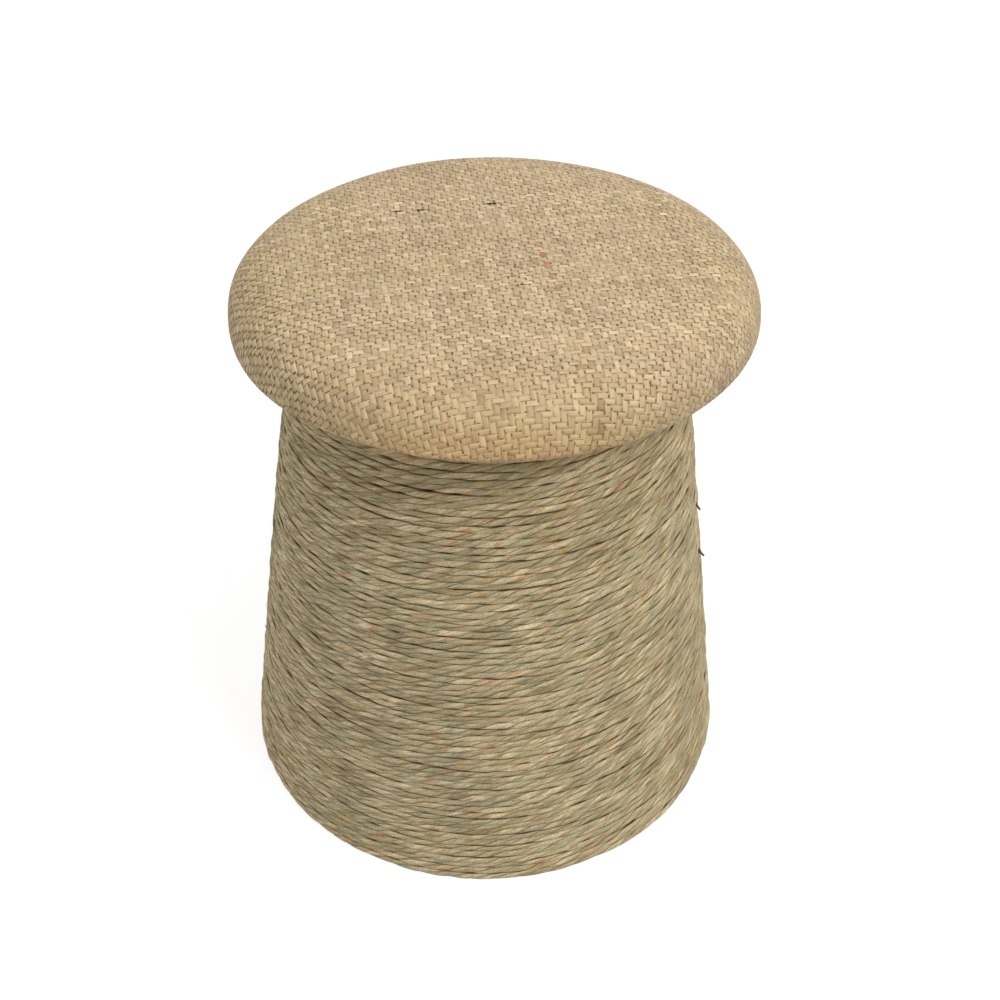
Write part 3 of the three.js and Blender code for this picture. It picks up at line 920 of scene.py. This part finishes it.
def build_pad():
    """The pad under the mat, dark as painted shade where it shows through the strips: a closed crowned
    form that stays clear of the seat board.
    """
    rim_end = OUTLINE_REACH[OUTLINE_SAMPLES + RIM_SAMPLES - 2]
    reaches = np.concatenate([
        np.linspace(PAD_MIDDLE_RADIUS, PAD_COARSE_RADIUS, PAD_STEPS // 2),
        np.linspace(PAD_COARSE_RADIUS, rim_end, PAD_STEPS // 2)[1:],
    ])
    angles = np.arange(PAD_SIDES) * TURN / PAD_SIDES
    rings = [on_cushion(reach * np.cos(angles), reach * np.sin(angles), -PAD_DEPTH) for reach in reaches]
    circle = np.stack([np.cos(angles), np.sin(angles), np.zeros(PAD_SIDES)], axis=-1)
    board_top = board_high.z + CLEARANCE
    for radius, height in (
        (BOARD_RADIUS + CLEARANCE, board_low.z),
        (BOARD_RADIUS + CLEARANCE, board_top),
        (PAD_MIDDLE_RADIUS, board_top),
    ):
        rings.append(circle * radius + np.array([SEAT_CENTRE, 0.0, height]))
    points, quads, caps = join_tubes([np.stack(rings)])
    pad = mesh_object("cushion_pad", points, quads[:, ::-1], [cap[::-1] for cap in caps])
    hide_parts("seat_foam")
    finish_piece(pad, pad_shade_material())


# Cord winding

def drum_radius(height):
    """Radius of the winding's outer face at a height."""
    share = height / DRUM_TOP
    return DRUM_FLOOR_RADIUS - DRUM_TAPER * height + 4 * DRUM_SWELL * share * (1 - share)


def row_level(angle):
    """Turns climbed at an angle: each turn is level, and climbs to the next at the back."""
    turns = (angle - CLIMB_START - CLIMB_WIDTH) / TURN
    whole = np.floor(turns)
    climb = share_past((turns - whole) * TURN, TURN - CLIMB_WIDTH, CLIMB_WIDTH)
    return whole + climb * climb * (3 - 2 * climb)


def from_edges(height):
    """From 0 at the first and the last row to 1 further in."""
    return share_past(np.minimum(height - WINDING_BOTTOM, DRUM_TOP - height), 0, ROW_EDGE_REACH)


def row_shift(angle, height):
    """How far a row is shifted up or down by its neighbours and by the gaps between rows."""
    round_drum = angle * drum_radius(height)
    shift = ROW_DRIFT * swell(round_drum, height, ROW_DRIFT_REACH, 21)
    shift += ROW_RIPPLE * swell(round_drum, height, ROW_RIPPLE_REACH, 22)
    shift *= from_edges(height)
    for gap_angle, gap_height, half_width, half_gap in ROW_GAPS:
        turned = (angle - gap_angle + TURN / 2) % TURN - TURN / 2
        apart = height - gap_height
        nearness = np.exp(-(turned / half_width) ** 2) * np.exp(-np.abs(apart) / ROW_GAP_REACH)
        shift += half_gap * np.sign(apart) * nearness
    return shift


def row_lines(turns):
    """How far the lines over and under a row stray; a row's upper line is the next row's lower one."""
    both = np.concatenate([turns, turns - 1]) * TURN * DRUM_FLOOR_RADIUS
    return np.split(ROW_UNEVENNESS * wander(both, ROW_UNEVENNESS_REACH, 35), 2)


def cord_course():
    """Along the winding: its angle, height and length so far, half a row's height, and the thickness."""
    first_angle = CLIMB_START + CLIMB_WIDTH + CORD_END_INSET
    last_angle = CLIMB_START - CORD_END_INSET + CORD_ROWS * TURN
    count = int((last_angle - first_angle) / TURN * CORD_STEPS_PER_TURN)
    angle = np.linspace(first_angle, last_angle, count)
    pitch = (DRUM_TOP - CLEARANCE - WINDING_BOTTOM) / CORD_ROWS
    height = WINDING_BOTTOM + pitch * (row_level(angle) + 0.5)
    length = np.concatenate([[0.0], np.cumsum(np.diff(angle) * drum_radius(height[1:]))])
    over, under = row_lines(angle / TURN)
    edge = from_edges(height)
    height = height + row_shift(angle, height) + edge * (over + under) / 2
    height = height + CORD_WOBBLE * wander(length, CORD_WOBBLE_REACH, 31)
    thinned = wander(length, CORD_THICKNESS_REACH, 32) - CORD_THINNING
    thickness = 1 + CORD_THICKNESS_UNEVENNESS * thinned
    row_height = (pitch + edge * (over - under)) / math.cos(math.atan(DRUM_TAPER))
    return angle, height, length, row_height / 2 * ROW_FILL_SHARE * thickness, thickness


def cord_rings():
    """Rings of points of the whole winding, and each point's strand count, length and outwardness."""
    angle, height, length, half_height, thickness = cord_course()
    slope = math.atan(DRUM_TAPER)
    middle = drum_radius(height) - CORD_HALF_DEPTH
    proud = ROW_PROUD * wander(length, ROW_PROUD_REACH, 34)
    proud += ROW_LUMP * wander(length, ROW_LUMP_REACH, 36)
    lay = LAY_UNEVENNESS * wander(length, LAY_REACH, 33)
    points, places = [], []
    for degrees in CORD_SECTION_DEGREES:
        section = math.radians(degrees)
        cosine, sine = math.cos(section), math.sin(section)
        out_share = math.copysign(abs(cosine) ** (2 / CORD_SQUARENESS), cosine)
        down_share = math.copysign(abs(sine) ** (2 / CORD_SQUARENESS), sine)
        strand = STRANDS * (section / TURN + length / LAY_LENGTH) + lay
        share = strand - np.floor(strand)
        bulge = 1.0
        if cosine >= 0:
            bulge = 1 - STRAND_GROOVE_SHARE * np.abs(2 * share - 1) ** 3
        out = CORD_HALF_DEPTH * thickness * out_share * bulge + proud * max(out_share, 0)
        down = half_height * down_share * bulge
        radius = middle + out * math.cos(slope) + down * math.sin(slope)
        up = height + out * math.sin(slope) - down * math.cos(slope)
        points.append(np.stack([radius * np.cos(angle), radius * np.sin(angle), up], axis=-1))
        places.append(np.stack([strand, length, np.full(len(angle), cosine)], axis=-1))
    return np.stack(points, axis=1), np.stack(places, axis=1)


def build_cord(material):
    """The winding, as pieces that follow each other along it."""
    rings, places = cord_rings()
    cuts = np.linspace(0, len(rings) - 1, CORD_PIECES + 1).astype(int)
    for i, (start, end) in enumerate(zip(cuts[:-1], cuts[1:])):
        points, quads, caps = join_tubes([rings[start:end + 1]])
        attributes = {"cord_place": places[start:end + 1].reshape(-1, 3)}
        piece = mesh_object(f"cord_{i + 1}", points, quads, caps, attributes)
        finish_piece(piece, material)
    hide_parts("cord_winding")


def fibre_points(angle, height, length, lift, rise, seed):
    """Points along one loose fibre, which leaves the winding along the row and curls outwards."""
    rng = np.random.default_rng(seed)
    share = np.linspace(0, 1, FIBRE_POINTS)
    turned = angle + length * share / drum_radius(height)
    waves = rng.uniform(*FIBRE_KINK_WAVES)
    kink = FIBRE_KINK * np.sin(share * waves + rng.uniform(*FIBRE_KINK_PHASES))
    up = height + rise * share ** 2 + kink * share
    out = drum_radius(up) - FIBRE_ROOT_DEPTH + lift * share ** 1.5
    return np.stack([out * np.cos(turned), out * np.sin(turned), up], axis=-1)


def all_fibres():
    """The photograph's own loose ends and some more all round, each with what PHOTO_FIBRES says of one."""
    rng = np.random.default_rng(41)
    fibres = list(PHOTO_FIBRES)
    for _ in range(FIBRE_COUNT):
        fibres.append((
            rng.uniform(0, TURN),
            rng.uniform(*FIBRE_HEIGHTS),
            rng.choice([-1, 1]) * rng.uniform(*FIBRE_LENGTHS),
            FIBRE_LEAST_LIFT + FIBRE_LIFT_SPREAD * rng.uniform(0, 1) ** 2,
            rng.uniform(-FIBRE_RISE, FIBRE_RISE),
            FIBRE_RADIUS,
        ))
    return fibres


def fibre_rings(path, radii):
    """Rings of points round a path, with a radius at each of its points."""
    along = np.gradient(path, axis=0)
    along /= np.linalg.norm(along, axis=1)[:, None]
    side = np.cross(along, np.array([0.0, 0.0, 1.0]))
    side /= np.linalg.norm(side, axis=1)[:, None]
    over = np.cross(along, side)
    section = np.arange(FIBRE_SIDES) * TURN / FIBRE_SIDES
    cosine = np.cos(section)[None, :, None]
    sine = np.sin(section)[None, :, None]
    return path[:, None] + radii[:, None, None] * (cosine * side[:, None] + sine * over[:, None])


def build_fibres(material):
    """Loose fibre ends that stand off the winding."""
    tubes, places = [], []
    for i, (*course, root_radius) in enumerate(all_fibres()):
        broken = root_radius > BROKEN_RADIUS
        tip_share = BROKEN_TIP_SHARE if broken else FIBRE_TIP_SHARE
        radii = root_radius * np.linspace(1, tip_share, FIBRE_POINTS)
        tubes.append(fibre_rings(fibre_points(*course, seed=50 + i), radii))
        outwardness = BROKEN_OUTWARDNESS if broken else FIBRE_OUTWARDNESS
        place = np.full((FIBRE_POINTS * FIBRE_SIDES, 3), outwardness)
        place[:, 0] = i * FIBRE_STRANDS + 0.5
        places.append(place)
    points, quads, caps = join_tubes(tubes)
    attributes = {"cord_place": np.concatenate(places)}
    piece = mesh_object("loose_fibres", points, quads, caps, attributes)
    finish_piece(piece, material)


def dress_cad_nodes():
    """Materials for the CAD nodes that stay, by the first word that a node's name starts with."""
    plywood = wood_material("plywood", PLYWOOD_TONES, PLYWOOD_SCALE, PLYWOOD_STRETCH)
    stave_wood = wood_material("stave_wood", STAVE_TONES, STAVE_SCALE, STAVE_STRETCH)
    steel = steel_material()
    finishes = (
        (("stave",), stave_wood),
        (("seat_board", "top_board", "mid_ring", "base_ring"), plywood),
        (("glide_pin", "seat_screw", "seat_washer"), steel),
        (("glide",), nylon_material()),
    )
    for name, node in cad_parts.items():
        finish = next((made for words, made in finishes if name.startswith(words)), None)
        if finish is not None:
            node.data.materials.clear()
            node.data.materials.append(finish)


# Studio

def build_floor():
    """A pale floor that takes the stool's shadow, and looks paler where it is seen directly."""
    half = FLOOR_HALF_WIDTH
    corners = np.array([(-half, -half, 0.0), (half, -half, 0.0), (half, half, 0.0), (-half, half, 0.0)])
    floor = mesh_object("floor", corners, np.array([[0, 1, 2, 3]]), [])
    material = bpy.data.materials.new("floor")
    material.use_nodes = True
    tree = material.node_tree
    tree.nodes.remove(tree.nodes["Principled BSDF"])
    lit = add_node(tree, "BsdfDiffuse", inputs={"Color": FLOOR_LIT}).outputs[0]
    faint = add_node(tree, "BsdfDiffuse", inputs={"Color": FLOOR_FAINT}).outputs[0]
    measured = add_node(tree, "VectorMath", {"operation": "LENGTH"}, {0: object_place(tree)})
    brightness = remap(tree, measured.outputs["Value"], *FLOOR_GLOW)
    glow = add_node(tree, "Emission", inputs={"Strength": brightness}).outputs[0]
    seen = add_node(tree, "AddShader", inputs={0: faint, 1: glow}).outputs[0]
    mixed = add_node(tree, "MixShader", inputs={0: seen_directly(tree), 1: lit, 2: seen})
    tree.links.new(mixed.outputs[0], tree.nodes["Material Output"].inputs["Surface"])
    floor.data.materials.append(material)


def seen_directly(tree):
    """1 for camera, glossy and transmission rays, 0 for the others."""
    path = add_node(tree, "LightPath").outputs
    glossy = calculate(tree, "MAXIMUM", path["Is Camera Ray"], path["Is Glossy Ray"])
    return calculate(tree, "MAXIMUM", glossy, path["Is Transmission Ray"])


def build_world():
    """White all round, at full strength only where it is seen directly."""
    world = bpy.data.worlds.new("studio")
    bpy.context.scene.world = world
    world.use_nodes = True
    tree = world.node_tree
    background = tree.nodes["Background"]
    background.inputs["Color"].default_value = (1.0, 1.0, 1.0, 1.0)
    strength = remap(tree, seen_directly(tree), 0.0, 1.0, WORLD_STRENGTH, 1.0)
    tree.links.new(strength, background.inputs["Strength"])


def add_lamp(name, place, size, power):
    """A round area lamp that points at the stool."""
    light = bpy.data.lights.new(name, "AREA")
    light.shape = "DISK"
    light.size = size
    light.energy = power
    lamp = add_object(name, light)
    lamp.location = place
    lamp.rotation_euler = (Vector(LAMP_AIM) - Vector(place)).to_track_quat("-Z", "Y").to_euler()


def build_camera():
    """The camera of the photograph, turned by its yaw, pitch and roll."""
    camera = bpy.data.cameras.new("camera")
    camera.lens = CAMERA_LENS
    camera.sensor_width = CAMERA_SENSOR
    seen = add_object("camera", camera)
    forward = Vector((
        math.sin(CAMERA_YAW) * math.cos(CAMERA_PITCH),
        math.cos(CAMERA_YAW) * math.cos(CAMERA_PITCH),
        -math.sin(CAMERA_PITCH),
    ))
    level_right = Vector((math.cos(CAMERA_YAW), -math.sin(CAMERA_YAW), 0.0))
    level_up = level_right.cross(forward)
    right = math.cos(CAMERA_ROLL) * level_right + math.sin(CAMERA_ROLL) * level_up
    up = -math.sin(CAMERA_ROLL) * level_right + math.cos(CAMERA_ROLL) * level_up
    axes = Matrix((right, up, -forward)).transposed().to_4x4()
    seen.matrix_world = Matrix.Translation(CAMERA_PLACE) @ axes
    bpy.context.scene.camera = seen


build_camera()
build_pad()
mat = build_mat()
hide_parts("seat_cover")
cord_look = cord_material()
build_cord(cord_look)
build_fibres(cord_look)
dress_cad_nodes()
build_floor()
build_world()
for lamp_values in LAMPS:
    add_lamp(*lamp_values)
bpy.context.scene.view_settings.view_transform = "Standard"
